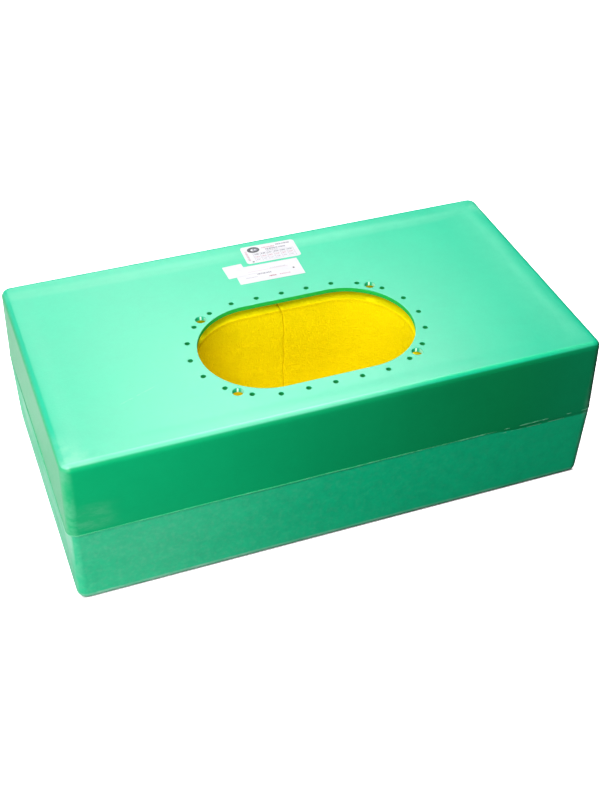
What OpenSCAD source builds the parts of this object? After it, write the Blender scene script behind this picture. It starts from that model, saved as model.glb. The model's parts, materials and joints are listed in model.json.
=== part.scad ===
// Fuel cell bladder: a rotationally moulded tank with an oblong fill opening in its top,
// two layers of open-cell baffle foam inside it and three labels stuck on its top.
// Units are millimetres. The origin is the centre of the base, +Z is up, the tank's
// length runs along X, and the fill opening lies towards -Y.

/* [Tank body] */
// Length of the tank at its parting line
body_l = 625; // [560:5:760]
// Width of the tank at its parting line
body_w = 337.5; // [300:0.5:420]
// Height of the tank
body_h = 198.5; // [180:0.5:260]
// Height of the mould's parting line above the base
seam_z = 104; // [80:1:120]
// How far each side leans in between the parting line and the top or the base
draft = 1.9; // [0:0.1:4]
// Wall thickness
wall = 5.7; // [4:0.1:7]
// Radius of the four upright corners
corner_r = 11.8; // [11:0.1:20]
// Radius of the edge round the top
top_edge_r = 7.7; // [7.2:0.1:10.8]
// Radius of the edge round the base
base_edge_r = 9.6; // [7.2:0.1:10.8]
// How far the moulding flash stands out at the parting line
flash_out = 0.7; // [0.3:0.1:1.5]
// Height of the moulding flash
flash_h = 1.8; // [1:0.1:3]

/* [Fill opening] */
// Length of the opening, round end to round end
opening_l = 254; // [200:1:260]
// Width of the opening
opening_w = 152.4; // [120:0.1:160]
// Place of the opening's centre across the tank
opening_y = -41; // [-50:1:0]

/* [Bolt holes] */
// Distance from the opening's edge out to the line of bolt holes
bolt_margin = 11; // [9:0.5:16]
// Number of bolt holes, evenly spaced along that line
bolt_count = 24; // [16:4:28]
// Diameter of a bolt hole
bolt_d = 6; // [4:0.1:7]
// Diameter of the four larger holes on the same line
large_d = 12.7; // [8:0.1:14]
// Place of a larger hole, in bolt spacings from the middle of a long side
large_step = 3.5; // [1.5:1:3.5]

/* [Foam baffle] */
// Thickness of the lower foam layer
floor_foam_h = 50; // [30:1:60]
// Free height between the foam and the tank's roof
headspace = 11.2; // [5:0.1:20]
// Free space between the foam and the tank's side walls
foam_side_gap = 2; // [2:0.5:6]
// How far the well in the foam is cut back from the opening's edge
well_margin = 0.5; // [0:0.1:5]

/* [Labels] */
// Thickness of a label
label_t = 0.2; // [0.1:0.05:0.5]
// Size of the certificate label, along X and Y
certificate_size = [69.3, 36.2];
// Centre of the certificate label
certificate_at = [16.8, 132.6];
// Turn of the certificate label, in degrees
certificate_turn = -1.5; // [-5:0.1:5]
// Radius of the certificate label's corners
certificate_corner_r = 4; // [1:0.5:8]
// Size of the data label
data_size = [81.6, 34.2];
// Centre of the data label
data_at = [1.2, 93.7];
// Turn of the data label, in degrees
data_turn = -1.2; // [-5:0.1:5]
// Size of the blank label, which laps over the data label
blank_size = [24.5, 25.6];
// Centre of the blank label
blank_at = [-37.8, 106.3];
// Turn of the blank label, in degrees
blank_turn = 2; // [-5:0.1:5]

/* [Hidden] */

// Outline of the opening, the bolt line and the well: a straight half length and an end radius
opening_half = (opening_l - opening_w) / 2;
opening_r = opening_w / 2;
bolt_r = opening_r + bolt_margin;
bolt_line = 4 * opening_half + 2 * PI * bolt_r;
bolt_pitch = bolt_line / bolt_count;
well_r = opening_r + well_margin;

// Foam: the lower layer rests just above the floor, the upper layer on top of it
foam_l = body_l - 2 * (draft + wall + foam_side_gap);
foam_w = body_w - 2 * (draft + wall + foam_side_gap);
foam_floor_gap = 0.6;
foam_joint = 0.3;
floor_foam_z = wall + foam_floor_gap;
upper_foam_z = floor_foam_z + floor_foam_h + foam_joint;
upper_foam_h = body_h - wall - headspace - upper_foam_z;

// Cutters run this far past the face they open
overrun = 1;
// Height of the upright band either side of the parting line
seam_band = 0.4;
corner_fn = 32;
opening_fn = 96;
hole_fn = 32;

shell_colour = [0.22, 0.84, 0.62];
foam_colour = [0.98, 0.85, 0.05];
label_colour = [0.93, 0.94, 0.94];

// Points of a quarter circle, from the side round to the top
function quarter_arc(r, steps = 8) = [
    for (i = [0:steps]) r * [cos(90 * i / steps), sin(90 * i / steps)]
];

// Point at distance s along a stadium line, from the middle of its far side round by +X
function stadium_point(s, half, r) =
    let (bend = PI * r)
    s < half ? [s, r]
    : s < half + bend ? end_point((s - half) / bend, half, r)
    : s < 3 * half + bend ? [2 * half + bend - s, -r]
    : s < 3 * half + 2 * bend ? -end_point((s - 3 * half - bend) / bend, half, r)
    : [s - 4 * half - 2 * bend, r];

// Point on the stadium's +X end, at a share of its half turn
function end_point(share, half, r) = [half + r * sin(180 * share), r * cos(180 * share)];

module at_corners(x, y) {
    for (sx = [-1, 1], sy = [-1, 1])
        translate([sx * x, sy * y, 0])
            children();
}

module stadium(half, r) {
    square([2 * half, 2 * r], center = true);
    for (side = [-1, 1])
        translate([side * half, 0])
            circle(r = r, $fn = opening_fn);
}

// Round post whose upper edge is rolled over to its flat top
module rolled_post(r, edge_r) {
    rotate_extrude($fn = corner_fn)
        polygon(concat([[0, 0]], [for (p = quarter_arc(edge_r)) [r - edge_r + p.x, p.y]], [[0, edge_r]]));
}

// Half of a tank, from its parting line at z = 0 up to a rolled edge at z = h
module half_tank(l, w, h, r, edge_r) {
    hull() {
        at_corners(l / 2 - r, w / 2 - r)
            cylinder(r = r, h = seam_band, $fn = corner_fn);
        translate([0, 0, h - edge_r])
            at_corners(l / 2 - r - draft, w / 2 - r - draft)
                rolled_post(r, edge_r);
    }
}

// Both halves of a tank that lies inside the outer surface by inset
module tank_form(inset) {
    l = body_l - 2 * inset;
    w = body_w - 2 * inset;
    r = corner_r - inset;
    translate([0, 0, seam_z]) {
        half_tank(l, w, body_h - seam_z - inset, r, top_edge_r - inset);
        mirror([0, 0, 1])
            half_tank(l, w, seam_z - inset, r, base_edge_r - inset);
    }
}

// Thin ridge left round the tank where the two mould halves met
module mould_flash() {
    translate([0, 0, seam_z - flash_h / 2])
        hull()
            at_corners(body_l / 2 - corner_r, body_w / 2 - corner_r)
                cylinder(r = corner_r + flash_out, h = flash_h, $fn = corner_fn);
}

// Drills for the bolt holes and the four larger holes, on one line round the opening
module hole_drills() {
    quarter = bolt_count / 4;
    large_places = [large_step, 2 * quarter - large_step, 2 * quarter + large_step, bolt_count - large_step];
    for (i = [0:bolt_count - 1])
        translate(stadium_point(i * bolt_pitch, opening_half, bolt_r))
            cylinder(d = bolt_d, h = wall + 2 * overrun, $fn = hole_fn);
    for (place = large_places)
        translate(stadium_point(place * bolt_pitch, opening_half, bolt_r))
            cylinder(d = large_d, h = wall + 2 * overrun, $fn = hole_fn);
}

module bladder_shell() {
    color(shell_colour)
        difference() {
            union() {
                tank_form(0);
                mould_flash();
            }
            tank_form(wall);
            translate([0, opening_y, body_h - wall - overrun]) {
                linear_extrude(wall + 2 * overrun)
                    stadium(opening_half, opening_r);
                hole_drills();
            }
        }
}

module certificate_outline() {
    translate(certificate_at)
        rotate(certificate_turn) {
            square(certificate_size - [2 * certificate_corner_r, 0], center = true);
            square(certificate_size - [0, 2 * certificate_corner_r], center = true);
            for (sx = [-1, 1], sy = [-1, 1])
                translate([
                    sx * (certificate_size.x / 2 - certificate_corner_r),
                    sy * (certificate_size.y / 2 - certificate_corner_r)
                ])
                    circle(r = certificate_corner_r, $fn = corner_fn);
        }
}

module data_outline() {
    translate(data_at)
        rotate(data_turn)
            square(data_size, center = true);
}

module certificate_label() {
    color(label_colour)
        translate([0, 0, body_h])
            linear_extrude(label_t)
                certificate_outline();
}

module data_label() {
    color(label_colour)
        translate([0, 0, body_h])
            linear_extrude(label_t)
                data_outline();
}

// The blank label lies on the tank and steps up over the corner of the data label
module blank_label() {
    color(label_colour)
        difference() {
            translate([blank_at.x, blank_at.y, body_h])
                rotate(blank_turn)
                    linear_extrude(2 * label_t)
                        square(blank_size, center = true);
            translate([0, 0, body_h - overrun])
                linear_extrude(overrun + label_t)
                    data_outline();
        }
}

// Foot print of the foam on one side of the tank: -1 is left, 1 is right
module foam_side(side) {
    half_l = (foam_l - foam_joint) / 2;
    translate([side * (foam_joint + half_l) / 2, 0])
        square([half_l, foam_w], center = true);
}

// Upper block: half of the well is cut out of its inner side
module upper_foam(side) {
    color(foam_colour)
        translate([0, 0, upper_foam_z])
            linear_extrude(upper_foam_h)
                difference() {
                    foam_side(side);
                    translate([0, opening_y])
                        stadium(opening_half, well_r);
                }
}

// Lower block: a plain slab under the upper block and the well
module floor_foam(side) {
    color(foam_colour)
        translate([0, 0, floor_foam_z])
            linear_extrude(floor_foam_h)
                foam_side(side);
}

module foam_left() { upper_foam(-1); }
module foam_right() { upper_foam(1); }
module foam_floor_left() { floor_foam(-1); }
module foam_floor_right() { floor_foam(1); }

bladder_shell();
certificate_label();
data_label();
blank_label();
foam_left();
foam_right();
foam_floor_left();
foam_floor_right();
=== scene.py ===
# Fuel cell bladder: a moulded tank, its parting flash, its labels and the baffle foam inside it
import json
import math
from types import SimpleNamespace

import bmesh
import bpy
import numpy as np
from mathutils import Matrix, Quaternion, Vector


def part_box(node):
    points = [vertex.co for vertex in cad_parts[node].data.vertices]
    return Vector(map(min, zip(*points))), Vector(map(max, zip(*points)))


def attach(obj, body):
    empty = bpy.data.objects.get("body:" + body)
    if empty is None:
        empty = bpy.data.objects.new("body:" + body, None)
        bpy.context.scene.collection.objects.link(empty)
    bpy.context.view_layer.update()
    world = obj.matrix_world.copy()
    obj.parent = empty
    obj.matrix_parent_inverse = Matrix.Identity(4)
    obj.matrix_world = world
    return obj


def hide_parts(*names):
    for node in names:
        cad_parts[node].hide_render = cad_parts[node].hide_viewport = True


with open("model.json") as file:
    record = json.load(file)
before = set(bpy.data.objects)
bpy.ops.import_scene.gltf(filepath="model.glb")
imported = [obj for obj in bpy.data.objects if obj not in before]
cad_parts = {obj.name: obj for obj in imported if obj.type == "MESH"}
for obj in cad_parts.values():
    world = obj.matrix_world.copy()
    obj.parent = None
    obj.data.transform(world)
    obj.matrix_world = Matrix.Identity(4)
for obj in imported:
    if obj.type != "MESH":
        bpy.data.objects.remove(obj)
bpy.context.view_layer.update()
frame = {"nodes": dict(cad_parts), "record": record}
body = "root"
mounts = {m["name"]: m for m in frame["record"]["mounts"]}
print("frame loaded with", len(frame["nodes"]), "nodes")

scene = bpy.context.scene
scene.view_settings.view_transform = "Standard"

view = {
    "place": (-0.4156, -1.0978, 1.0676),
    "aim": (-0.0059, -0.0364, 0.1000),
    "roll": 1.02,   # degrees about the line of sight
    "lens": 56.8,
}


def placeCamera():
    camera = bpy.data.objects.new("viewCamera", bpy.data.cameras.new("viewCamera"))
    scene.collection.objects.link(camera)
    camera.data.lens = view["lens"]
    camera.location = view["place"]
    aim = (Vector(view["aim"]) - camera.location).to_track_quat("-Z", "Y")
    camera.rotation_mode = "QUATERNION"
    camera.rotation_quaternion = aim @ Quaternion((0, 0, 1), math.radians(view["roll"]))
    scene.camera = camera


placeCamera()


# Quads between neighbouring rows and columns of a grid; ring joins the last column to the first
def gridQuads(rows, columns, ring=False):
    row = np.arange(rows - 1)[:, None] * columns
    column = np.arange(columns if ring else columns - 1)[None, :]
    after = (column + 1) % columns
    quads = [row + column, row + after, row + columns + after, row + columns + column]
    return np.stack(quads, axis=-1).reshape(-1, 4)


# A normal of each quad, from its diagonals
def quadNormals(points, quads):
    corners = points[quads]
    return np.cross(corners[:, 2] - corners[:, 0], corners[:, 3] - corners[:, 1])


# Turns a grid's quads to face away from a point inside the shape
def facingOut(points, quads, inside):
    outward = np.einsum("ij,ij->", quadNormals(points, quads), points[quads].mean(axis=1) - inside)
    return quads if outward > 0 else quads[:, ::-1]


# Collects grids into one mesh, welds their shared edges and makes the object
def buildPiece(name, parts, material, smooth=35, caps=()):
    points = np.concatenate([p for p, q in parts])
    starts = np.cumsum([0] + [len(p) for p, q in parts])
    quads = np.concatenate([q + start for (p, q), start in zip(parts, starts)])
    mesh = bpy.data.meshes.new(name)
    mesh.from_pydata(points.tolist(), [], quads.tolist() + [list(cap) for cap in caps])
    work = bmesh.new()
    work.from_mesh(mesh)
    bmesh.ops.remove_doubles(work, verts=work.verts, dist=2e-6)
    work.to_mesh(mesh)
    work.free()
    mesh.shade_smooth()
    mesh.set_sharp_from_angle(angle=math.radians(smooth))
    mesh.materials.append(material)
    piece = bpy.data.objects.new(name, mesh)
    scene.collection.objects.link(piece)
    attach(piece, body)
    return piece


# Smooth rise from 0 to 1 as x goes from low to high
def ease(x, low, high):
    t = np.clip((x - low) / (high - low), 0, 1)
    return t * t * (3 - 2 * t)


# Sum of a few sine waves along s with random phases, between about -1 and 1
def waver(s, length, seed, count=5):
    draw = np.random.default_rng(seed)
    total = np.zeros_like(s, dtype=float)
    for step in range(1, count + 1):
        total += np.sin(2 * math.pi * s * step * 1.37 / length + draw.uniform(0, 6.28)) / step ** 0.6
    return total / 2.2


# A socket in a material: arithmetic on it adds Math nodes to the same tree
class Wire:
    def __init__(self, tree, socket):
        self.tree = tree
        self.socket = socket

    # Adds any node: its type, its settings, then a value or a wire for each input, and gives one output
    def add(self, kind, settings=None, inputs=None, output=0):
        node = self.tree.nodes.new(kind)
        for key, value in (settings or {}).items():
            setattr(node, key, value)
        for key, value in (inputs or {}).items():
            if isinstance(value, Wire):
                self.tree.links.new(value.socket, node.inputs[key])
            else:
                node.inputs[key].default_value = value
        return Wire(self.tree, node.outputs[output])

    def math(self, operation, *values):
        return self.add("ShaderNodeMath", {"operation": operation}, dict(enumerate((self, *values))))

    def __add__(self, other):
        return self.math("ADD", other)

    def __radd__(self, other):
        return self.math("ADD", other)

    def __sub__(self, other):
        return self.math("SUBTRACT", other)

    def __rsub__(self, other):
        return (self * -1) + other

    def __mul__(self, other):
        return self.math("MULTIPLY", other)

    def __truediv__(self, other):
        return self.math("DIVIDE", other)

    # 0 below low, 1 above high, and a smooth rise between
    def step(self, low, high):
        settings = {"interpolation_type": "SMOOTHSTEP"}
        return self.add("ShaderNodeMapRange", settings, {"Value": self, "From Min": low, "From Max": high})

    # 1 where this value lies within reach of middle, fading over soft
    def near(self, middle, reach, soft):
        return 1 - (self - middle).math("ABSOLUTE").step(reach, reach + soft)

    # Fractal noise about this position, with its cells stretched or squeezed along each axis
    def noise(self, scale, detail=2.0, roughness=0.5, stretch=(1, 1, 1)):
        place = self.add("ShaderNodeMapping", None, {"Vector": self, "Scale": stretch})
        inputs = {"Vector": place, "Scale": scale, "Detail": detail, "Roughness": roughness}
        return self.add("ShaderNodeTexNoise", None, inputs)

    # The X, Y and Z of this position
    def split(self):
        return [self.add("ShaderNodeSeparateXYZ", None, {0: self}, axis) for axis in "XYZ"]

    # This colour times a value
    def scaled(self, value):
        return self.add("ShaderNodeVectorMath", {"operation": "SCALE"}, {0: self, "Scale": value})

    # Blends two colours or colour wires by this value
    def blend(self, first, second):
        return self.add("ShaderNodeMix", {"data_type": "RGBA"}, {0: self, 6: first, 7: second}, 2)


# A new material: its tree holds a Principled shader with the fixed values, and starts from coordinates
def startMaterial(name, coordinates="Object", **fixed):
    material = bpy.data.materials.new(name)
    material.use_nodes = True
    tree = material.node_tree
    shader = tree.nodes["Principled BSDF"]
    for key, value in fixed.items():
        shader.inputs[key].default_value = value
    source = tree.nodes.new("ShaderNodeTexCoord")
    return material, shader, Wire(tree, source.outputs[coordinates])


def setInputs(shader, **wires):
    for key, wire in wires.items():
        wire.tree.links.new(wire.socket, shader.inputs[key.replace("_", " ")])


def bumpFrom(height, strength, distance):
    inputs = {"Height": height, "Strength": strength, "Distance": distance}
    return height.add("ShaderNodeBump", None, inputs)


print("camera and tools ready")

tank = {
    "flashOut": 0.0007,      # the body stands this far inside the frame's box, which the flash reaches
    "seam": 0.104,           # height of the parting line
    "draft": 0.0019,         # lean of each side from the parting line to the top or base
    "wall": 0.0057,
    "cornerRadius": 0.0118,
    "topEdge": 0.0077,
    "baseEdge": 0.0096,
    "boltMargin": 0.011,     # from the opening's edge out to the line of bolt holes
    "bandOut": 0.013,        # the grid round the bolt holes ends this far outside their line
    "sink": 0.00035,         # the roof settles this much inside its rim as it cools
    "sinkFrom": 0.006,       # where the settling starts and ends, inwards from the rolled edge
    "sinkTo": 0.024,
    "swell": 0.00012,        # gentle waves of the roof
    "bow": 0.0005,           # the side walls pull in by this much at their middles
    "dish": 0.0010,          # the base rises by this much inside its rim
    "lip": 0.00045,          # rounding of the cut edges
}
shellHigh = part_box("bladder_shell")[1]
halfLong = shellHigh.x - tank["flashOut"]
halfWide = shellHigh.y - tank["flashOut"]
roof = shellHigh.z
openingAt = Vector(mounts["bolts_mid_sides"]["pos_m"])
boltRadius = mounts["bolts_mid_sides"]["dims"]["spacing_y_mm"] / 2000
boltHalf = mounts["bolts_mid_ends"]["dims"]["spacing_x_mm"] / 2000 - boltRadius
boltHole = mounts["bolts_mid_sides"]["dims"]["hole_r_mm"] / 1000
largeHole = mounts["large_holes"]["dims"]["hole_r_mm"] / 1000
boltCount = sum(m["dims"]["count"] for name, m in mounts.items() if name.startswith("bolts_"))
boltLine = 4 * boltHalf + 2 * math.pi * boltRadius
pitch = boltLine / boltCount
tankMiddle = np.array([0, 0, roof / 2])


# Points at distance s along the bolt line, moved outwards by out. The line is a stadium that starts at
# the middle of its far side and goes round by +X: a straight run, a half turn of the bolt radius,
# a straight run back, and the other half turn
def stadium(s, out):
    bend = math.pi * boltRadius
    s = np.mod(s, boltLine)
    reach = boltRadius + out
    onRight = (s >= boltHalf) & (s < boltHalf + bend)
    onLeft = (s >= 3 * boltHalf + bend) & (s < 3 * boltHalf + 2 * bend)
    below = (s >= boltHalf + bend) & (s < 3 * boltHalf + bend)
    turn = np.where(onRight, s - boltHalf, s - 3 * boltHalf - bend) / boltRadius
    side = np.where(onRight, 1, -1)
    straight = np.where(s < boltHalf, s, np.where(below, 2 * boltHalf + bend - s, s - boltLine))
    bent = onRight | onLeft
    x = np.where(bent, side * (boltHalf + reach * np.sin(turn)), straight)
    y = np.where(bent, side * reach * np.cos(turn), np.where(below, -reach, reach))
    return np.stack([x + openingAt.x, y + openingAt.y], axis=-1)


# Height of the roof: flat at its rim, then an eased drop inside it, with a few slow waves
def roofHeight(x, y):
    toEnd = halfLong - tank["draft"] - tank["topEdge"] - np.abs(x)
    toSide = halfWide - tank["draft"] - tank["topEdge"] - np.abs(y)
    inward = -np.log(np.exp(-250 * toEnd) + np.exp(-250 * toSide)) / 250
    settled = ease(inward, tank["sinkFrom"], tank["sinkTo"])
    waves = np.sin(17 * x + 1.1) * np.sin(23 * y + 0.4) + 0.6 * np.sin(31 * x - 11 * y)
    return roof - tank["sink"] * settled - tank["swell"] * settled * (1 + waves / 1.6)


# Columns round the tank for a right half: far side, corner, end behind and before the opening's
# middle, corner, near side. Each quarter has as many as the band round the bolt holes
columns = {"far": 40, "corner": 16, "endFar": 28, "endNear": 20, "near": 48}


# One loop round the tank, a rectangle with arcs for corners, with its unit outward normals and
# how far each point lies along its side, from -1 to 1
def tankLoop(halfX, halfY, radius):
    def run(start, end, count, normal, reachFrom, reachTo):
        t = np.linspace(0, 1, count, endpoint=False)[:, None]
        reach = reachFrom + (reachTo - reachFrom) * t
        return np.hstack([start + (np.array(end) - start) * t, np.tile(normal, (count, 1)), reach])

    def corner(centre, first):
        turn = first + np.linspace(0, math.pi / 2, columns["corner"], endpoint=False)
        normal = np.stack([np.sin(turn), np.cos(turn)], axis=-1)
        return np.hstack([np.array(centre) + radius * normal, normal, np.ones((len(turn), 1))])

    x, y, split = halfX - radius, halfY - radius, openingAt.y
    turned = split / y
    right = np.concatenate([
        run(np.array([0, halfY]), [x, halfY], columns["far"], [0, 1], 0, 1),
        corner([x, y], 0),
        run(np.array([halfX, y]), [halfX, split], columns["endFar"], [1, 0], 1, turned),
        run(np.array([halfX, split]), [halfX, -y], columns["endNear"], [1, 0], turned, -1),
        corner([x, -y], math.pi / 2),
        run(np.array([x, -halfY]), [0, -halfY], columns["near"], [0, -1], 1, 0),
        np.array([[0, -halfY, 0, -1, 0]]),
    ])
    left = right[-1:0:-1] * [-1, 1, -1, 1, 1]
    loop = np.concatenate([right[:-1], left])
    return loop[:, :2], loop[:, 2:4], loop[:, 4]


# Stations down the tank: inset from the parting outline, height and corner radius. The top and base
# edges are quarter circles, and the sides are straight between them and the parting line
def tankStations():
    rows = []
    lean, seam, radius = tank["draft"], tank["seam"], tank["cornerRadius"]
    for angle in np.radians(np.linspace(90, 0, 13)):
        cut = tank["topEdge"] * (1 - math.cos(angle))
        rows.append((lean + cut, roof - tank["topEdge"] * (1 - math.sin(angle)), radius - cut))
    for t in np.linspace(0, 1, 15)[1:]:
        rows.append((lean * (1 - t), (1 - t) * (roof - tank["topEdge"]) + t * seam, radius))
    for t in np.linspace(0, 1, 15)[1:]:
        rows.append((lean * t, (1 - t) * seam + t * tank["baseEdge"], radius))
    for angle in np.radians(np.linspace(0, 90, 13))[1:]:
        cut = tank["baseEdge"] * (1 - math.cos(angle))
        rows.append((lean + cut, tank["baseEdge"] * (1 - math.sin(angle)), radius - cut))
    return rows


# The outer skin: cells round the holes, the roof outside them, the sides and the base
def tankSkin():
    perSide = 12
    share = np.array([0, 0.06, 0.28, 0.62, 0.9, 1])[:, None, None]
    places = [(i * pitch, boltHole) for i in range(boltCount)]
    large = mounts["large_holes"]["dims"]
    turn = math.atan2(large["spacing_x_mm"] / 2000 - boltHalf, large["spacing_y_mm"] / 2000)
    largeAt = boltHalf + boltRadius * turn
    for s in (largeAt, boltLine / 2 - largeAt, boltLine / 2 + largeAt, boltLine - largeAt):
        places.append((s, largeHole))
    places.sort()
    middles = np.array([place[0] for place in places])
    rights = (middles + np.append(middles[1:], boltLine)) / 2
    lefts = np.append(rights[-1] - boltLine, rights[:-1])
    t = np.linspace(0, 1, perSide, endpoint=False)
    still = np.zeros(perSide)
    inner, outer = -tank["boltMargin"], tank["bandOut"]
    parts = []

    # cell: from the hole's circle straight out to the cell's four sides, at the given shares of the way
    for (middle, radius), left, right in zip(places, lefts, rights):
        run, rise = (right - left) * t, (outer - inner) * t
        along = np.concatenate([left + run, right + still, right - run, left + still])
        out = np.concatenate([inner + still, inner + rise, outer + still, outer - rise])
        rim = stadium(along, out)
        centre = stadium(np.array([middle]), 0)
        hole = centre + radius * (rim - centre) / np.linalg.norm(rim - centre, axis=1)[:, None]
        grid = hole + share * (rim - hole)
        parts.append((grid.reshape(-1, 2), gridQuads(len(share), 4 * perSide, True)))

    # roof: straight lines from the band's outer loop to the start of the rolled edge
    along = np.concatenate([left + (right - left) * t for left, right in zip(lefts, rights)])
    outerLoop = np.roll(stadium(along, outer), -perSide // 2, axis=0)
    stations = tankStations()
    inset, edgeRadius = stations[0][0], stations[0][2]
    rolled = tankLoop(halfLong - inset, halfWide - inset, edgeRadius)[0]
    way = 1 - (1 - np.linspace(0, 1, 27))[:, None, None] ** 1.25
    flat = outerLoop + way * (rolled - outerLoop)
    parts.append((flat.reshape(-1, 2), gridQuads(len(way), len(outerLoop), True)))
    parts = [(np.column_stack([p, roofHeight(p[:, 0], p[:, 1])]), q) for p, q in parts]

    # sides: one loop a station, with the walls pulled in at their middles
    loops = []
    for inset, height, radius in stations:
        loop, normal, reach = tankLoop(halfLong - inset, halfWide - inset, radius)
        rise = min(max((height - tank["baseEdge"]) / (roof - tank["topEdge"] - tank["baseEdge"]), 0), 1)
        pull = tank["bow"] * math.sin(math.pi * rise) * (1 - reach ** 2) ** 2
        loops.append(np.column_stack([loop - pull[:, None] * normal, np.full(len(loop), height)]))
    parts.append((np.concatenate(loops), gridQuads(len(loops), len(loops[0]), True)))

    # base: loops that shrink to a point, raised inside the rim
    foot = loops[-1][:, :2]
    shrink = 1 - np.linspace(0, 1, 22)[:, None, None] ** 1.4
    base = (foot * shrink).reshape(-1, 2)
    lift = tank["dish"] * ease(np.repeat(1 - shrink.ravel(), len(foot)), 0.05, 0.5)
    parts.append((np.column_stack([base, lift]), gridQuads(len(shrink), len(foot), True)))
    return [(p, facingOut(p, q, tankMiddle)) for p, q in parts]


plastic = {
    "roof": (0.004, 0.49, 0.270, 1),
    "rolled": (0.25, 0.86, 0.55, 1),      # painted sheen on the roof's near rolled edge, whitish at the left
    "rolledSheenFar": (0.01, 0.68, 0.30, 1),   # and a brighter green at the right
    "upper": (0.0, 0.47, 0.175, 1),       # glossy mould half at its left end
    "upperShadedFar": (0.0, 0.25, 0.075, 1),    # and towards its right end, darker: painted shade where the key light falls off
    "upperEnd": (0.0, 0.30, 0.120, 1),    # with a paler last stretch
    "lower": (0.0, 0.60, 0.275, 1),       # milky mould half at its left end
    "lowerFar": (0.0, 0.52, 0.235, 1),    # and at its right end
    "cut": (0.0, 0.45, 0.060, 1),         # wall of the opening
    "bolt": (0.0, 0.24, 0.070, 1),        # walls of the bolt holes, darkened with painted shade in their depth
    "drilled": (0.0, 0.46, 0.280, 1),     # walls of the large holes
    "paintedGlint": (0.62, 0.90, 0.78, 1),      # painted glint on the right of the large holes' walls
    "paintedGlintGlow": 0.5,                    # share of it that glows
    "glow": (0.0, 0.045, 0.004, 1),       # painted glow on the cut walls, for light that comes through them
    "whiteSheenAndWear": (0.34, 0.70, 0.52, 1),        # white, for painted sheen and for wear
    "sheenAndWearMost": 0.85,                     # the most of it anywhere
    "upperRough": 0.36,
    "lowerRough": 0.50,
    "specular": 0.42,
    "trimDrop": 0.0052,   # the milky half starts this much lower where the flash is trimmed
}

# Bands: how far along a distance each lies, half its width, how far it fades and how strong it is
bands = {
    # painted sheen on the upright corners
    "upright": (0.0, 0.006, 0.010, 0.40),
    # painted sheen on the roof: a band along its far edge and two lighter corners
    "paintedFarSheen": (0.029, 0.004, 0.008, 0.085),
    "paintedFarRightSheen": (0.0, 0.030, 0.040, 0.30),
    "paintedNearLeftSheen": (0.0, 0.026, 0.050, 0.42),
    "smudge": (tank["seam"] + 0.022, 0.010, 0.012, 0.15),
    # painted highlight along the base's rolled edge
    "foot": (0.0076, 0.0014, 0.0024, 1.0),
    # painted sheen along the roof's near rolled edge
    "rolled": (0.0070, 0.0016, 0.0026, 0.55),
    # painted shadow under the parting flash
    "flashShadow": (tank["seam"] - 0.0026, 0.0003, 0.0008, 0.16),
    "trimmed": (tank["seam"] - 0.0052, 0.0002, 0.0005, 0.40),
}

# Borders: whole up to the first distance and gone at the second, and how strong each is
borders = {
    "milkyHalf": (tank["seam"] - 0.0012, tank["seam"] + 0.0002, 1.0),
    "nearFront": (0.002, 0.020, 1.0),
    "frontLeft": (0.030, 0.062, 1.0),
    "leftEnd": (0.0020, 0.0060, 1.0),
    # painted sheen along the roof's far and near edges and in its right frame
    "paintedFarEdgeSheen": (0.004, 0.012, 0.06),
    "paintedNearEdgeSheen": (0.012, 0.040, 0.05),
    "paintedRightSheen": (0.028, 0.075, 0.070),
    # painted shade along the roof's right edge
    "roofRightShade": (0.012, 0.022, 0.05),
    # painted shade along the foot
    "underside": (0.0026, 0.0044, 0.70),
}

# The fine scratch across the roof's near left: its middle, its direction and half its width and length
scratch = {
    "at": (-0.208, -0.079),
    "aim": (0.929, 0.371),
    "width": 0.0003,
    "reach": 0.016,
    "white": 0.10,
}


def band(distance, name):
    middle, reach, soft, strength = bands[name]
    return distance.near(middle, reach, soft) * strength


def border(distance, name):
    whole, gone, strength = borders[name]
    return (1 - distance.step(whole, gone)) * strength


# The distances, masks and noises that all of the plastic's looks share
def plasticPlaces(place):
    x, y, z = place.split()
    at = SimpleNamespace(place=place, x=x, y=y, z=z)
    at.toLeftEdge = x + halfLong
    at.toRightEdge = halfLong - x
    at.toNearEdge = y + halfWide
    at.toFarEdge = halfWide - y
    at.toRight = x.step(-halfLong, halfLong)
    at.nearFront = border(at.toNearEdge, "nearFront")
    dropped = at.nearFront * x.step(0.15, 0.24) * plastic["trimDrop"]
    at.below = border(z + dropped, "milkyHalf")
    at.onRoof = z.step(roof - 0.0036, roof - 0.0018) * at.toNearEdge.step(0.0032, 0.0056)
    at.cloud = place.noise(9, 3, 0.55)
    at.warp = place.noise(6, 2, 0.5) - 0.5
    at.mottle = place.noise(60, 4, 0.6)
    at.smears = place.noise(11, 4, 0.55, (0.6, 1, 1.6)).step(0.35, 0.75)
    at.patchy = place.noise(30, 4, 0.6).step(0.38, 0.68)
    at.wavyRight = at.toRightEdge + at.warp * 0.040
    return at


# Painted sheen on the roof: bands along its far and right edges, two lighter corners, the near edge
def paintedRoofSheen(at):
    paintedFarSheen = band(at.toFarEdge + at.warp * 0.020, "paintedFarSheen")
    paintedRightSheen = at.wavyRight.step(0.014, 0.024) * border(at.toRightEdge, "paintedRightSheen")
    frames = paintedFarSheen.math("MAXIMUM", border(at.toFarEdge, "paintedFarEdgeSheen")).math("MAXIMUM", paintedRightSheen)
    frames = frames * (0.5 + at.mottle)
    paintedFarRightSheen = band(at.toRightEdge + at.toFarEdge, "paintedFarRightSheen") * at.patchy
    paintedNearLeftSheen = band(at.toLeftEdge + at.toNearEdge, "paintedNearLeftSheen") * (0.25 + at.patchy * 0.75)
    paintedNearEdgeSheen = border(at.toNearEdge, "paintedNearEdgeSheen") * (1 - at.toRight.step(0.3, 0.8))
    corners = paintedFarRightSheen.math("MAXIMUM", paintedNearLeftSheen).math("MAXIMUM", paintedNearEdgeSheen)
    return at.onRoof * frames.math("MAXIMUM", corners)
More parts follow.
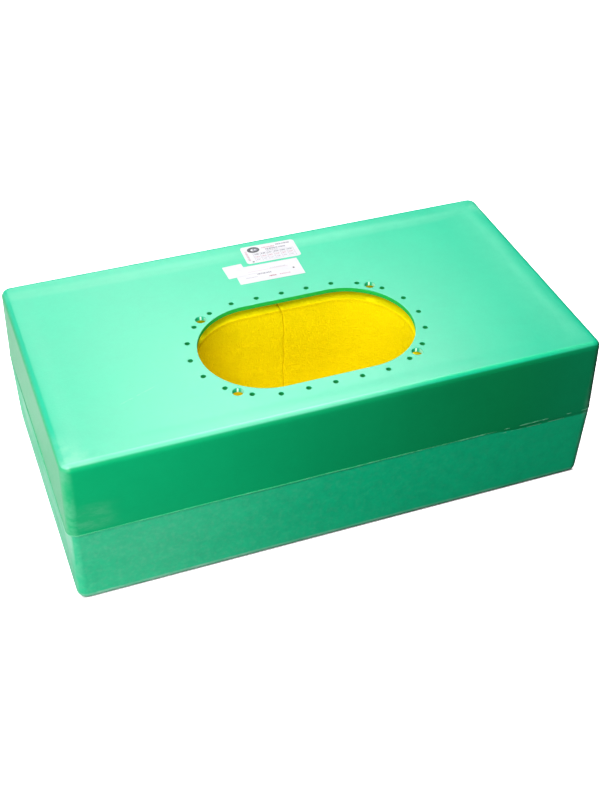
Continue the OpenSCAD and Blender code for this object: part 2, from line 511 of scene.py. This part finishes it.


# Painted sheen and wear on the sides: painted sheen on the upright corners, a painted highlight along the
# foot, a smudge on the front, scuffs on the left end with painted sheen, and the milky grain of the lower
# half with painted sheen that fades to the right
def sideSheenAndWear(at):
    scribble = at.place.noise(110, 4, 0.65, (0.5, 1, 1.3)).step(0.42, 0.66)
    granules = at.place.noise(150, 4, 0.7).step(0.42, 0.72)
    cornerGap = (halfLong - at.x.math("ABSOLUTE")) + (halfWide - at.y.math("ABSOLUTE"))
    # painted sheen on the upright corners
    upright = band(cornerGap, "upright") * at.patchy
    smudge = at.nearFront * border(at.toLeftEdge, "frontLeft") * band(at.z, "smudge")
    smudge = smudge * (scribble * 0.8 + 0.2)
    # painted highlight along the base's rolled edge, stronger at the left
    foot = band(at.z, "foot") * (0.26 + (1 - at.toRight) * 0.32) * (0.6 + at.patchy)
    # milky grain of the lower half, with painted sheen that fades towards the right
    milky = at.below * (1 - at.toRight.step(0.0, 0.55)) * (0.06 + at.smears * 0.08)
    milky = milky + at.below * granules * (1 - at.toRight * 0.8) * 0.11
    # scuffs on the left end, with painted sheen that is stronger on its lower half
    endScuffAndSheen = (0.02 + at.below * 0.58) * (0.35 + at.smears * 1.1) + granules * 0.14
    endScuffAndSheen = endScuffAndSheen * border(at.toLeftEdge, "leftEnd")
    return (milky + foot).math("MAXIMUM", upright).math("MAXIMUM", smudge).math("MAXIMUM", endScuffAndSheen)


# Fine lines broken by noise: the roof's scratch, and the one left on the front by trimming the flash
def fineLines(at):
    aimX, aimY = scratch["aim"]
    fromX, fromY = at.x - scratch["at"][0], at.y - scratch["at"][1]
    along = fromX * aimX + fromY * aimY
    across = fromY * aimX - fromX * aimY
    line = across.near(0.0, scratch["width"], 0.0006) * along.near(0.0, scratch["reach"], 0.010)
    line = line * at.onRoof * at.place.noise(180, 2).step(0.35, 0.6) * scratch["white"]
    trimmed = at.nearFront * at.x.step(0.17, 0.20) * band(at.z, "trimmed")
    return line + trimmed * at.place.noise(70, 2, 0.5).step(0.42, 0.55)


# Cut walls, between the roof's two skins and near the opening: how much a point lies on one, in one of the
# holes, in a large hole, and on the painted glint streaks on the right of a large hole
def cutWalls(at):
    offY = at.y - openingAt.y
    depth = at.z.near(roof - 0.0034, 0.0022, 0.0005)
    cut = depth * (1 - at.x.math("ABSOLUTE").step(0.16, 0.17))
    cut = cut * (1 - offY.math("ABSOLUTE").step(0.10, 0.11))
    pastX = (at.x.math("ABSOLUTE") - boltHalf).math("MAXIMUM", 0.0)
    fromLine = (pastX * pastX + offY * offY).math("SQRT")
    inHole = fromLine.step(boltRadius - 0.0085, boltRadius - 0.0070)
    large = mounts["large_holes"]["dims"]
    holeX = at.x - at.x.math("SIGN") * (large["spacing_x_mm"] / 2000)
    holeY = offY - offY.math("SIGN") * (large["spacing_y_mm"] / 2000)
    drilled = 1 - (holeX * holeX + holeY * holeY).math("SQRT").step(0.0080, 0.0085)
    # painted glint: a streak on the right of each large hole's wall
    glintStreak = holeX.near(0.0015, 0.0002, 0.0012).math("MAXIMUM", holeX.step(0.0038, 0.0058) * 0.35)
    return cut, inHole, drilled, cut * drilled * glintStreak


# Moulded polymer: saturated and glossy above the parting line, milky and hazed below it, with a paler roof,
# painted sheen and wear on its edges and corners, painted shade, cut walls with a painted glow, and a fine
# orange peel everywhere
def plasticMaterial(name, onBead=False):
    material, shader, place = startMaterial(name, **{
        "Specular IOR Level": plastic["specular"], "IOR": 1.5, "Emission Strength": 1.0,
    })
    at = plasticPlaces(place)
    # painted sheen on the roof and sides, with some wear
    sheenAndWear = paintedRoofSheen(at).math("MAXIMUM", sideSheenAndWear(at))
    cut, inHole, drilled, paintedGlint = cutWalls(at)

    # the moulding's tones, from left to right, below and above the parting line and on the roof; the upper
    # half darkens to the right with painted shade
    tone = at.toRight.blend(plastic["upper"], plastic["upperShadedFar"])
    tone = (at.x.step(0.18, 0.31) * 0.8).blend(tone, plastic["upperEnd"])
    tone = at.below.blend(tone, at.toRight.blend(plastic["lower"], plastic["lowerFar"]))
    tone = at.onRoof.blend(tone, plastic["roof"])
    # painted sheen along the roof's near rolled edge, whitish at the left and brighter green at the right
    paintedEdgeSheen = at.toRight.step(0.42, 0.80).blend(plastic["rolled"], plastic["rolledSheenFar"])
    tone = (at.onRoof * band(at.toNearEdge, "rolled")).blend(tone, paintedEdgeSheen)

    # shading: clouds, blotches and grain, painted shadow under the parting flash, painted shade along the
    # foot and along the roof's right edge
    grain = place.noise(260, 3, 0.6)
    blotches = (at.mottle - 0.5) * (0.10 + at.below * 0.20) + (grain - 0.5) * (0.08 + at.below * 0.16)
    # painted shadow under the parting flash
    shade = (1 + (at.cloud - 0.5) * 0.16 + blotches) * (1 - band(at.z, "flashShadow"))
    # painted shade along the foot
    shade = shade * (1 - border(at.z, "underside"))
    # painted shade along the roof's right edge, where it tilts away from the light
    shade = shade * (1 - at.onRoof * border(at.wavyRight, "roofRightShade"))
    tone = tone.scaled(shade)

    # cut walls, then painted sheen with wear, the scratches, and the painted glint in the large holes
    # the bolt holes' walls are darker with painted shade
    wallTone = inHole.blend(plastic["cut"], drilled.blend(plastic["bolt"], plastic["drilled"]))
    tone = cut.blend(tone, wallTone)
    tone = (sheenAndWear + fineLines(at)).math("MINIMUM", plastic["sheenAndWearMost"]).blend(tone, plastic["whiteSheenAndWear"])
    # painted glint in the large holes
    tone = paintedGlint.blend(tone, plastic["paintedGlint"])
    if onBead:
        white = place.noise(160, 3).step(0.3, 0.8) * (0.18 + at.x.step(0.10, 0.20) * 0.25) + 0.08
        tone = white.blend(tone, plastic["whiteSheenAndWear"])
    # painted glow: on the cut walls, and on the painted glint in the large holes
    glow = cut.blend((0, 0, 0, 1), plastic["glow"])
    glow = (paintedGlint * plastic["paintedGlintGlow"]).blend(glow, plastic["paintedGlint"])
    rough = plastic["upperRough"] + at.below * (plastic["lowerRough"] - plastic["upperRough"])
    rough = rough + (at.cloud - 0.5) * 0.10 + sheenAndWear * 0.14 + cut * 0.45
    normal = bumpFrom(place.noise(420, 3, 0.6) * 0.6 + at.mottle * 0.8, 0.22, 0.0006)
    setInputs(shader, Base_Color=tone, Roughness=rough, Normal=normal, Emission_Color=glow)
    return material


tankPlastic = plasticMaterial("tankPlastic")
shell = buildPiece("tank_moulding", tankSkin(), tankPlastic)
thicken = shell.modifiers.new("wall", "SOLIDIFY")
thicken.thickness = tank["wall"]
thicken.offset = -1
thicken.use_even_offset = True
lips = shell.modifiers.new("lips", "BEVEL")
lips.width = tank["lip"]
lips.segments = 3
lips.limit_method = "ANGLE"
lips.angle_limit = math.radians(50)
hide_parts("bladder_shell")
print("tank built:", len(shell.data.polygons), "faces before its wall")

flash = {
    "height": 0.0018,
    "root": 0.0004,      # how far it starts inside the wall
    "wander": 0.00022,   # how far it strays up and down
    "spacing": 0.0022,   # between stations along it
    "trimFrom": -0.02,   # it is whole up to here along X, and most trimmed from trimTo on
    "trimTo": 0.12,
}


# The flash: a half-round bead carried round the parting line, whose size and height waver, and which
# is trimmed down to nearly nothing in places towards the right end
def flashBead():
    loop, normal = tankLoop(halfLong, halfWide, tank["cornerRadius"])[:2]
    closed = np.vstack([loop, loop[:1]])
    turns = np.vstack([normal, normal[:1]])
    length = np.append(0, np.cumsum(np.linalg.norm(np.diff(closed, axis=0), axis=1)))
    s = np.linspace(0, length[-1], int(length[-1] / flash["spacing"]), endpoint=False)
    at = np.stack([np.interp(s, length, closed[:, k]) for k in (0, 1)], axis=-1)
    aim = np.stack([np.interp(s, length, turns[:, k]) for k in (0, 1)], axis=-1)
    aim /= np.linalg.norm(aim, axis=1)[:, None]
    broken = ease(at[:, 0], flash["trimFrom"], flash["trimTo"])
    gaps = ease(waver(s, 0.11, 5, 7), -0.35, 0.25)
    size = (0.80 + 0.20 * waver(s, 0.16, 8)) * (1 - broken * 0.75 * gaps)
    size = np.clip(size, 0.15, 1)[:, None]
    turn = np.radians(np.linspace(-90, 90, 9))[None, :]
    out = -flash["root"] + size * (tank["flashOut"] + flash["root"]) * np.cos(turn)
    rise = flash["height"] / 2 * (0.55 + 0.45 * size) * np.sin(turn)
    rise = rise + tank["seam"] + flash["wander"] * waver(s, 0.3, 3)[:, None]
    back = np.full((len(s), 1), -2 * flash["root"])
    out = np.hstack([back, out, back])
    rise = np.hstack([rise[:, :1], rise, rise[:, -1:]])
    x = at[:, :1] + aim[:, :1] * out
    y = at[:, 1:] + aim[:, 1:] * out
    points = np.stack([x, y, rise], axis=-1)
    around = np.concatenate([points, points[:1]]).reshape(-1, 3)
    quads = gridQuads(len(s) + 1, points.shape[1], True)
    return [(around, facingOut(around, quads, tankMiddle))]


bead = buildPiece("parting_flash", flashBead(), plasticMaterial("flashPlastic", True))
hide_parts("bladder_shell")
print("parting flash built")

labels = {
    "certificate_label": {"size": (0.0693, 0.0362), "turn": -1.5, "corner": 0.0040},
    "data_label": {"size": (0.0816, 0.0342), "turn": -1.2, "corner": 0.0006},
    "blank_label": {"size": (0.0245, 0.0256), "turn": 2.0, "corner": 0.0008},
}
labelFilm = 0.0002
filmTone = (0.57, 0.565, 0.59, 1)
filmShade = (0.53, 0.53, 0.56, 1)


# Local coordinates of a label, from its centre, for points of the roof
def labelLocal(name, x, y):
    low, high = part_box(name)
    turn = math.radians(labels[name]["turn"])
    dx, dy = x - (low.x + high.x) / 2, y - (low.y + high.y) / 2
    return dx * math.cos(turn) + dy * math.sin(turn), dy * math.cos(turn) - dx * math.sin(turn)


# How much a label is raised where it laps over the data label
def lapHeight(x, y):
    u, v = labelLocal("data_label", x, y)
    width, height = labels["data_label"]["size"]
    inside = np.minimum(width / 2 - np.abs(u), height / 2 - np.abs(v))
    return labelFilm * ease(inside, -0.0009, 0.0001)


# A label: an outline of four arcs, filled by loops that shrink to its centre, laid on the roof at the
# film's thickness, with a thin side wall and an underside
def labelSheet(name, material):
    size, radius = np.array(labels[name]["size"]), labels[name]["corner"]
    turn = math.radians(labels[name]["turn"])
    outline = []
    for number, (sx, sy) in enumerate([(1, 1), (-1, 1), (-1, -1), (1, -1)]):
        angles = np.radians(90 * number + np.linspace(0, 90, 9))
        arc = radius * np.stack([np.cos(angles), np.sin(angles)], axis=-1)
        outline.append(arc + (size / 2 - radius) * [sx, sy])
    outline = np.concatenate(outline)
    after = np.roll(outline, -1, axis=0)
    way = np.linspace(0, 1, 6, endpoint=False)[:, None]
    sides = []
    for a, b in zip(outline, after):
        straight = np.linalg.norm(b - a) > 0.003
        sides.append(a + way * (b - a) if straight else a[None])
    dense = np.concatenate(sides)
    low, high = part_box(name)
    centre = np.array([(low.x + high.x) / 2, (low.y + high.y) / 2])
    spin = np.array([[math.cos(turn), math.sin(turn)], [-math.sin(turn), math.cos(turn)]])
    shares = np.append(1 - np.linspace(0, 1, 14, endpoint=False) ** 1.2, 0)
    grids, lifts = [dense * share for share in shares], [labelFilm] * len(shares)
    grids = [dense] + grids + grids[::-1]
    lifts = [0.00002] + lifts + [0.00002] * len(shares)
    local = np.concatenate(grids)
    flat = local @ spin + centre
    lap = lapHeight(flat[:, 0], flat[:, 1]) if name == "blank_label" else 0
    height = roofHeight(flat[:, 0], flat[:, 1]) + np.repeat(lifts, len(dense)) + lap
    points = np.column_stack([flat, height])
    top = gridQuads(len(shares) + 1, len(dense), True)
    bottom = gridQuads(len(shares), len(dense), True) + (len(shares) + 1) * len(dense)
    top = facingOut(points, top, tankMiddle)
    bottom = facingOut(points, bottom, tankMiddle)[:, ::-1]
    piece = buildPiece(name + "_sheet", [(points, np.concatenate([top, bottom]))], material)

    # the print's own map, from 0 to 1 across the label
    mesh = piece.data
    places = np.empty(len(mesh.vertices) * 3)
    mesh.vertices.foreach_get("co", places)
    places = places.reshape(-1, 3)
    u, v = labelLocal(name, places[:, 0], places[:, 1])
    corners = np.empty(len(mesh.loops), dtype=int)
    mesh.loops.foreach_get("vertex_index", corners)
    spread = np.stack([u / size[0] + 0.5, v / size[1] + 0.5], axis=-1)[corners]
    mesh.uv_layers.new(name="print").data.foreach_set("uv", spread.ravel())
    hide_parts(name)


# Film and ink: draw gives masks and inks for a point, in millimetres from the label's lower left
def labelMaterial(name, size, draw):
    material, shader, place = startMaterial(name, "UV", **{"Specular IOR Level": 0.35, "Roughness": 0.38})
    u, v = [part * (length * 1000) for part, length in zip(place.split(), size)]
    tone = place.noise(3, 3).step(0.3, 0.8).blend(filmTone, filmShade)
    fibres = place.noise(160, 3, 0.6)
    for mask, ink in draw(u, v, place):
        tone = mask.math("MINIMUM", 1.0).blend(tone, ink)
    setInputs(shader, Base_Color=tone, Normal=bumpFrom(fibres, 0.08, 0.0002))
    return material


# A filled bar with soft edges
def bar(u, v, left, low, right, high, soft=0.12):
    wide = u.near((left + right) / 2, (right - left) / 2 - soft, soft)
    return wide * v.near((low + high) / 2, (high - low) / 2 - soft, soft)


# The rim of an ellipse
def ring(u, v, middle, radii, width):
    across, up = (u - middle[0]) / radii[0], (v - middle[1]) / radii[1]
    return (across * across + up * up).math("SQRT").near(1 - width / 2, width / 2, 0.08)


# A row of unreadable dashes, standing for a printed line: a bar cut by noise along it
def dashes(u, v, left, low, right, high, seed, upright=False):
    along = v if upright else u
    inputs = {"W": along * 1.3 + seed, "Scale": 1.0, "Detail": 3.0}
    cells = along.add("ShaderNodeTexNoise", {"noise_dimensions": "1D"}, inputs)
    return bar(u, v, left, low, right, high) * cells.step(0.44, 0.52)


black = (0.010, 0.012, 0.02, 1)
grey = (0.13, 0.13, 0.17, 1)
paleGrey = (0.27, 0.25, 0.30, 1)
pink = (0.40, 0.20, 0.25, 1)
red = (0.26, 0.03, 0.06, 1)


def certificatePrint(u, v, place):
    yield ring(u, v, (15.2, 27.6), (7.6, 5.6), 0.52), black
    yield ring(u, v, (17.4, 27.6), (3.2, 2.6), 0.60), grey
    yield dashes(u, v, 45.0, 30.0, 63.0, 33.0, 3), grey
    yield dashes(u, v, 26.0, 28.0, 43.0, 30.6, 7), pink
    yield dashes(u, v, 30.0, 24.0, 56.0, 26.8, 11), grey
    yield dashes(u, v, 30.0, 21.4, 46.0, 23.2, 15), paleGrey
    yield dashes(u, v, 3.4, 6.0, 6.2, 27.0, 19, True), pink
    yield bar(u, v, 7.0, 2.0, 9.6, 4.0), black
    for column in range(7):
        left = 12.0 + 8.6 * column
        yield bar(u, v, left, 3.0, left + 0.5, 20.4), paleGrey
        if column < 6:
            yield dashes(u, v, left + 1.2, 16.4, left + 7.2, 19.2, 23 + column), grey
            yield dashes(u, v, left + 1.2, 11.0, left + 6.8, 13.3, 33 + column), pink
            yield dashes(u, v, left + 1.6, 5.4, left + 6.4, 7.4, 43 + column), paleGrey
    for row in range(4):
        yield bar(u, v, 12.0, 3.0 + 5.8 * row, 63.9, 3.35 + 5.8 * row), paleGrey


def dataPrint(u, v, place):
    yield dashes(u, v, 25.0, 13.6, 43.0, 16.4, 2), grey
    yield dashes(u, v, 38.0, 6.0, 47.5, 8.6, 5), red
    yield dashes(u, v, 51.0, 6.2, 65.0, 8.4, 9), pink
    yield bar(u, v, 70.4, 14.2, 73.0, 17.0, 0.3), black
    yield bar(u, v, 16.0, 21.4, 66.0, 21.85), pink
    yield bar(u, v, 4.0, 17.2, 26.0, 17.7), paleGrey
    yield dashes(u, v, 44.0, 22.6, 64.0, 23.8, 12), paleGrey
    yield dashes(u, v, 10.0, 9.6, 24.0, 11.0, 14), paleGrey


def blankPrint(u, v, place):
    yield place.noise(5, 3).step(0.5, 0.9) * 0.5, (0.50, 0.52, 0.52, 1)


prints = {"certificate_label": certificatePrint, "data_label": dataPrint, "blank_label": blankPrint}
for name, draw in prints.items():
    labelSheet(name, labelMaterial(name + "Ink", labels[name]["size"], draw))
print("labels laid")

foam = {
    "edge": 0.0022,         # rounding of the cut edges
    "joint": 0.0022,        # rounding where two blocks meet
    "press": 0.50,          # share of the gap between two blocks that they swell to close
    "slump": 0.0045,        # how far the joint leans to the left at its top
    "slumpDepth": 0.016,    # the lean starts this far below the top
    "leanWidth": 0.030,     # and fades out this far from the joint
    "wander": 0.0006,       # how far the joint strays on its way up
    "wellOut": 0.0005,      # the well's wall stands this far outside the opening's edge
    "pore": 0.0026,         # mean pore size
    "poreDepth": 0.0008,
    "stray": 0.0006,        # how far a sawn face strays from flat
    "step": 0.0009,         # grid spacing on the faces that show
    "showing": 0.020,       # width of the block's top that shows under the roof
    "floorShowing": 0.004,  # a lower slab has close grid lines up to this far outside the opening
    "coarse": 0.012,        # grid spacing of a slab where it doesn't show
    "coarseUp": 0.006,      # and up its sides
    "dimFrom": 0.0065,      # the painted glow weakens between these two depths below the top
    "dimTo": 0.0035,
    "litFrom": 0.0022,      # and is strongest above these two
    "litTo": 0.0006,
}


# Distance from each point to the web of walls between random cells of the given size: for each of
# the 27 cells about a point, a jittered middle, and the second nearest distance less the nearest
def webDistance(points, size, seed):
    base = np.floor(points / size).astype(np.int64)
    nearest = np.full(len(points), 9e9)
    second = nearest.copy()
    for offset in np.ndindex(3, 3, 3):
        cell = base + np.array(offset) - 1
        jitter = []
        for axis in range(3):
            mixed = cell @ np.array([73856093, 19349663, 83492791]) + 7919 * axis + 104729 * seed
            mixed = (mixed ^ (mixed >> 13)) * 1274126177 & 0x7FFFFFFF
            mixed = (mixed ^ (mixed >> 11)) * 668265263 & 0x7FFFFFFF
            jitter.append((mixed & 0xFFFFF) / 0xFFFFF)
        middle = (cell + np.stack(jitter, axis=-1)) * size
        distance = np.linalg.norm(points - middle, axis=1)
        second = np.minimum(second, np.maximum(nearest, distance))
        nearest = np.minimum(nearest, distance)
    return second - nearest


# Moves points along their normals: slow waves of a sawn face, then pores sunk between a web of struts
def roughen(points, normals, seed):
    x, y, z = points.T
    slow = np.sin(38 * x + 25 * z + seed) * np.sin(33 * y - 21 * z) + 0.5 * np.sin(83 * x + 61 * y + 47 * z)
    pores = ease(webDistance(points, foam["pore"], seed) / foam["pore"], 0.06, 0.42)
    move = foam["stray"] * 0.5 * (slow - 1) - foam["poreDepth"] * pores
    return points + normals * move[:, None]


# Cross-section of an upper block, up the well's wall and on round it. Each row holds a and b, for a
# distance from the well of a + b times the section's length, then the height and the outward normal
def blockSection(bottom, top):
    r = foam["edge"]
    rows = [(0, 0, z, -1, 0) for z in np.arange(bottom + r, top - r, foam["step"])]

    # arc of rows about the given height, at the well or at the outer side
    def corner(outer, height, degrees):
        side = 1 if outer else -1
        for angle in np.radians(degrees):
            out, up = math.cos(angle), math.sin(angle)
            rows.append((side * r * (out - 1), outer, height + r * up, side * out, up))

    corner(0, top - r, np.linspace(0, 90, 7))
    rows.extend((a, 0, top, 0, 1) for a in np.arange(r, foam["showing"], foam["step"])[1:])
    rows.extend((foam["showing"] * (1 - t) - r * t, t, top, 0, 1) for t in np.linspace(0, 1, 14)[1:-1])
    corner(1, top - r, np.linspace(90, 0, 5))
    rows.extend((0, 1, z, 1, 0) for z in np.linspace(top - r, bottom + r, 14)[1:-1])
    corner(1, bottom + r, np.linspace(0, -90, 5))
    rows.extend((r * (1 - 2 * t), t, bottom, 0, -1) for t in np.linspace(1, 0, 12)[1:-1])
    corner(0, bottom + r, np.linspace(-90, 0, 5)[:-1])
    return np.array(rows).T


# An upper block: its cross-section carried along half of the well's outline, each on a line from the well
# outwards to the block's rectangle, with rounded edges at the joint, which leans to the left at its top
def wellBlock(name, side, seed):
    low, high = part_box(name)
    wellRadius = boltRadius - tank["boltMargin"] + foam["wellOut"]
    gap = min(abs(low.x), abs(high.x)) * (1 - foam["press"])
    reachX = max(abs(low.x), abs(high.x))
    farY, nearY = high.y - openingAt.y, openingAt.y - low.y
    cornerFar = math.atan2(reachX - boltHalf, farY)
    cornerNear = math.pi - math.atan2(reachX - boltHalf, nearY)
    lineStep = foam["step"] / wellRadius
    turns = np.sort(np.append(np.arange(0, math.pi, lineStep), [cornerFar, cornerNear, math.pi]))

    # lines: along the far straight run from the joint, round the end, and back along the near run
    nearSeam = gap + foam["joint"] * (1 - np.cos(np.linspace(0, math.pi / 2, 5)))
    runX = np.concatenate([nearSeam, np.arange(nearSeam[-1], boltHalf, foam["step"])[1:]])
    startX = np.concatenate([runX, np.full(len(turns), boltHalf), runX[::-1]])
    aim = np.concatenate([np.zeros(len(runX)), turns, np.full(len(runX), math.pi)])
    aimX, aimY = np.sin(aim), np.cos(aim)
    toEnd = (reachX - startX) / np.maximum(aimX, 1e-9)
    toSide = np.where(aimY > 0, farY, nearY) / np.maximum(np.abs(aimY), 1e-9)
    length = np.minimum(toEnd, toSide) - wellRadius

    # next to the joint the cross-section shrinks along a quarter circle
    fromSeam = np.where(startX < boltHalf, startX - gap, foam["joint"])
    shy = 1 - np.clip(fromSeam / foam["joint"], 0, 1)
    shrink = foam["joint"] * (1 - np.sqrt(1 - shy ** 2))

    a, b, z, outA, outZ = blockSection(low.z, high.z)
    away = wellRadius + a + b * length[:, None] - shrink[:, None] * outA
    height = np.broadcast_to(z, away.shape) - shrink[:, None] * outZ
    x = side * (startX[:, None] + away * aimX[:, None])
    y = openingAt.y + away * aimY[:, None]

    # both blocks lean to the left towards the joint's top, and stray a little on the way up
    lean = foam["slump"] * ease(height, high.z - foam["slumpDepth"], high.z - 0.001) ** 2
    lean = lean + foam["wander"] * np.sin(height * 160)
    x = x - lean * (1 - ease(np.abs(x), 0, foam["leanWidth"]))
    points = np.stack([x, y, height], axis=-1).reshape(-1, 3)
    normal = [side * aimX[:, None] * outA, aimY[:, None] * outA, np.broadcast_to(outZ, away.shape)]
    normals = np.stack(normal, axis=-1).reshape(-1, 3)
    points = roughen(points, normals, seed)
    quads = gridQuads(len(startX), len(z), True)
    first = np.arange(len(z))
    caps = first[::-1], first + (len(startX) - 1) * len(z)
    if np.einsum("ij,ij->", quadNormals(points, quads), normals[quads].mean(axis=1)) < 0:
        quads = quads[:, ::-1]
        caps = [cap[::-1] for cap in caps]
    return points, quads, caps


# A lower slab: a box whose edges are rounded by pulling each point to a sphere about the nearest point
# of the box shrunk by the radius, with close lines where the well shows it
def floorSlab(name, seed):
    low, high = [np.array(v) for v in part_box(name)]
    r = foam["edge"]
    rounded = r * (1 - np.cos(np.linspace(0, math.pi / 2, 5)))

    def lines(a, b, coarse, show=None):
        far = np.arange(a + r, b - r, coarse)
        close = np.array([])
        if show:
            start, end = max(show[0], a + r), min(show[1], b - r)
            close = np.arange(start, end, foam["step"])
            far = far[(far < start - coarse / 3) | (far > end + coarse / 3)]
        return np.unique(np.round(np.concatenate([a + rounded, b - rounded, close, far]), 6))

    reach = boltRadius - tank["boltMargin"] + foam["floorShowing"]
    xs = lines(low[0], high[0], foam["coarse"], (-boltHalf - reach, boltHalf + reach))
    ys = lines(low[1], high[1], foam["coarse"], (openingAt.y - reach, openingAt.y + reach))
    zs = lines(low[2], high[2], foam["coarseUp"])
    parts = []
    for axis, (p, q) in enumerate([(ys, zs), (zs, xs), (xs, ys)]):
        others = [(axis + 1) % 3, (axis + 2) % 3]
        for end in (low, high):
            grid = np.empty((len(p), len(q), 3))
            grid[..., axis] = end[axis]
            grid[..., others[0]] = p[:, None]
            grid[..., others[1]] = q[None, :]
            flat = grid.reshape(-1, 3)
            core = np.clip(flat, low + r, high - r)
            normal = flat - core
            normal /= np.linalg.norm(normal, axis=1)[:, None]
            quads = gridQuads(len(p), len(q))
            points = roughen(core + r * normal, normal, seed)
            parts.append((points, facingOut(points, quads, (low + high) / 2)))
    return parts


foamTone = {
    "face": (0.83, 0.72, 0.0, 1),
    "pore": (0.68, 0.46, 0.0, 1),
    # darker in the pores: painted shade
    "fresh": (0.87, 0.76, 0.0, 1),
    "glow": (0.13, 0.09, 0.0, 1),       # painted glow, for light that scatters through the foam
    "upperGlow": (0.04, 0.0, 0.0, 1),   # less of it just below the top
    "topGlow": (0.28, 0.20, 0.0, 1),    # more of it on the top: painted light that lifts the shadow under the roof, which lets light through
}


# Reticulated foam: a web of pale struts over pores darkened with painted shade at two scales, quite matt,
# with slow patches of fresher yellow, and a painted glow that depends on the height
def foamMaterial():
    material, shader, place = startMaterial("baffleFoam", **{
        "Roughness": 0.9, "Specular IOR Level": 0.08, "Emission Strength": 1.0,
    })
    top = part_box("foam_left")[1].z
    z = place.split()[2]
    # painted glow, weaker just below the top and strongest on the top, where it lifts the shadow under the
    # roof
    dim = z.step(top - foam["dimFrom"], top - foam["dimTo"])
    lit = z.step(top - foam["litFrom"], top - foam["litTo"])
    glow = lit.blend(dim.blend(foamTone["glow"], foamTone["upperGlow"]), foamTone["topGlow"])
    settings = {"feature": "DISTANCE_TO_EDGE"}
    inputs = {"Vector": place, "Scale": 420.0, "Randomness": 0.9}
    coarse = place.add("ShaderNodeTexVoronoi", settings, inputs)
    inputs = {"Vector": place, "Scale": 950.0, "Randomness": 1.0}
    fine = place.add("ShaderNodeTexVoronoi", settings, inputs)
    pores = coarse.step(0.05, 0.32) * 0.6 + fine.step(0.04, 0.3) * 0.4
    patches = place.noise(22, 3, 0.6).step(0.3, 0.75)
    tone = patches.blend(foamTone["face"], foamTone["fresh"])
    speckle = place.noise(600, 2, 0.7).step(0.35, 0.75)
    # darker in the pores with painted shade, and random speckle
    tone = (pores * 0.30 + speckle * 0.10).blend(tone, foamTone["pore"])
    setInputs(shader, Base_Color=tone, Emission_Color=glow, Normal=bumpFrom(1 - pores, 0.55, 0.0008))
    return material


baffleFoam = foamMaterial()
for name, side, seed in (("foam_left", -1, 3), ("foam_right", 1, 4)):
    points, quads, caps = wellBlock(name, side, seed)
    block = buildPiece(name + "_block", [(points, quads)], baffleFoam, 60, caps)
    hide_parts(name)
for name, seed in (("foam_floor_left", 5), ("foam_floor_right", 6)):
    slab = buildPiece(name + "_slab", floorSlab(name, seed), baffleFoam, 60)
    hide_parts(name)
print("foam cut")

lights = {
    "keyLight": {"place": (-0.90, -1.10, 1.80), "size": (0.8, 0.8), "power": 38.0},
    "roofLight": {"place": (0.30, 0.90, 1.40), "size": (0.8, 0.6), "power": 17.0},
    "rightLight": {"place": (0.60, 1.20, 1.60), "size": (0.8, 0.6), "power": 7.4},
    "backLight": {"place": (0.0, 2.30, 1.70), "size": (1.0, 0.8), "power": 12.6},
    "lowLight": {"place": (-0.75, -0.90, 0.50), "size": (0.5, 0.4), "power": 4.6},
}

studio = {
    "floor": 8.0,                     # half the floor's side
    "dim": (0.03, 0.03, 0.03, 1),     # what the floor and the surroundings throw back in front
    "paper": (0.8, 0.8, 0.8, 1),      # and what the floor throws back behind the tank
    "wall": (0.9, 0.9, 0.9, 1),       # and the bright wall
    "seen": (0.95, 0.95, 0.95, 1),    # the floor's own tone to the eye
    "lift": (0.93, 0.93, 0.93, 1),    # what makes it white to the eye
    "shadowIn": 0.0070,               # the contact shadow fades between these two, inside the outline
    "shadowOut": 0.0038,
}


def areaLight(name, settings):
    lamp = bpy.data.lights.new(name, "AREA")
    lamp.shape = "RECTANGLE"
    lamp.size, lamp.size_y = settings["size"]
    lamp.energy = settings["power"]
    light = bpy.data.objects.new(name, lamp)
    scene.collection.objects.link(light)
    light.location = settings["place"]
    light.rotation_mode = "QUATERNION"
    light.rotation_quaternion = (Vector((0, 0, 0.1)) - light.location).to_track_quat("-Z", "Y")


# Pale floor: white to the eye up to a thin contact shadow, but it throws little light at the front
def studioFloor():
    side = studio["floor"]
    mesh = bpy.data.meshes.new("studioFloor")
    corners = [(-side, -side, 0), (side, -side, 0), (side, side, 0), (-side, side, 0)]
    mesh.from_pydata(corners, [], [(0, 1, 2, 3)])
    material, shader, place = startMaterial("studioPaper", **{
        "Roughness": 0.9, "Specular IOR Level": 0.1, "Emission Strength": 1.0,
    })
    seen = place.add("ShaderNodeLightPath", None, None, "Is Camera Ray")
    x, y = place.split()[:2]
    behind = (y - x * 0.4).step(-0.25, 0.15)
    bounce = behind.blend(studio["dim"], studio["paper"])
    gap = (x.math("ABSOLUTE") - halfLong).math("MAXIMUM", y.math("ABSOLUTE") - halfWide)
    lit = seen * gap.step(-studio["shadowIn"], -studio["shadowOut"])
    lift = lit.blend((0, 0, 0, 1), studio["lift"])
    setInputs(shader, Base_Color=seen.blend(bounce, studio["seen"]), Emission_Color=lift)
    mesh.materials.append(material)
    floor = bpy.data.objects.new("studioFloor", mesh)
    scene.collection.objects.link(floor)


# Surroundings: white to the eye, dim to the tank but for a bright wall behind it on the left
def studioWorld():
    world = bpy.data.worlds.new("studioWorld")
    scene.world = world
    world.use_nodes = True
    tree = world.node_tree
    place = Wire(tree, tree.nodes.new("ShaderNodeTexCoord").outputs["Generated"])
    x, y = place.split()[:2]
    wall = (y - x).step(0.7, 1.25)
    around = wall.blend(studio["dim"], studio["wall"])
    seen = place.add("ShaderNodeLightPath", None, None, "Is Camera Ray")
    tone = seen.blend(around, (1, 1, 1, 1))
    tree.links.new(tone.socket, tree.nodes["Background"].inputs["Color"])


for name, settings in lights.items():
    areaLight(name, settings)
studioFloor()
studioWorld()
print("studio lit")
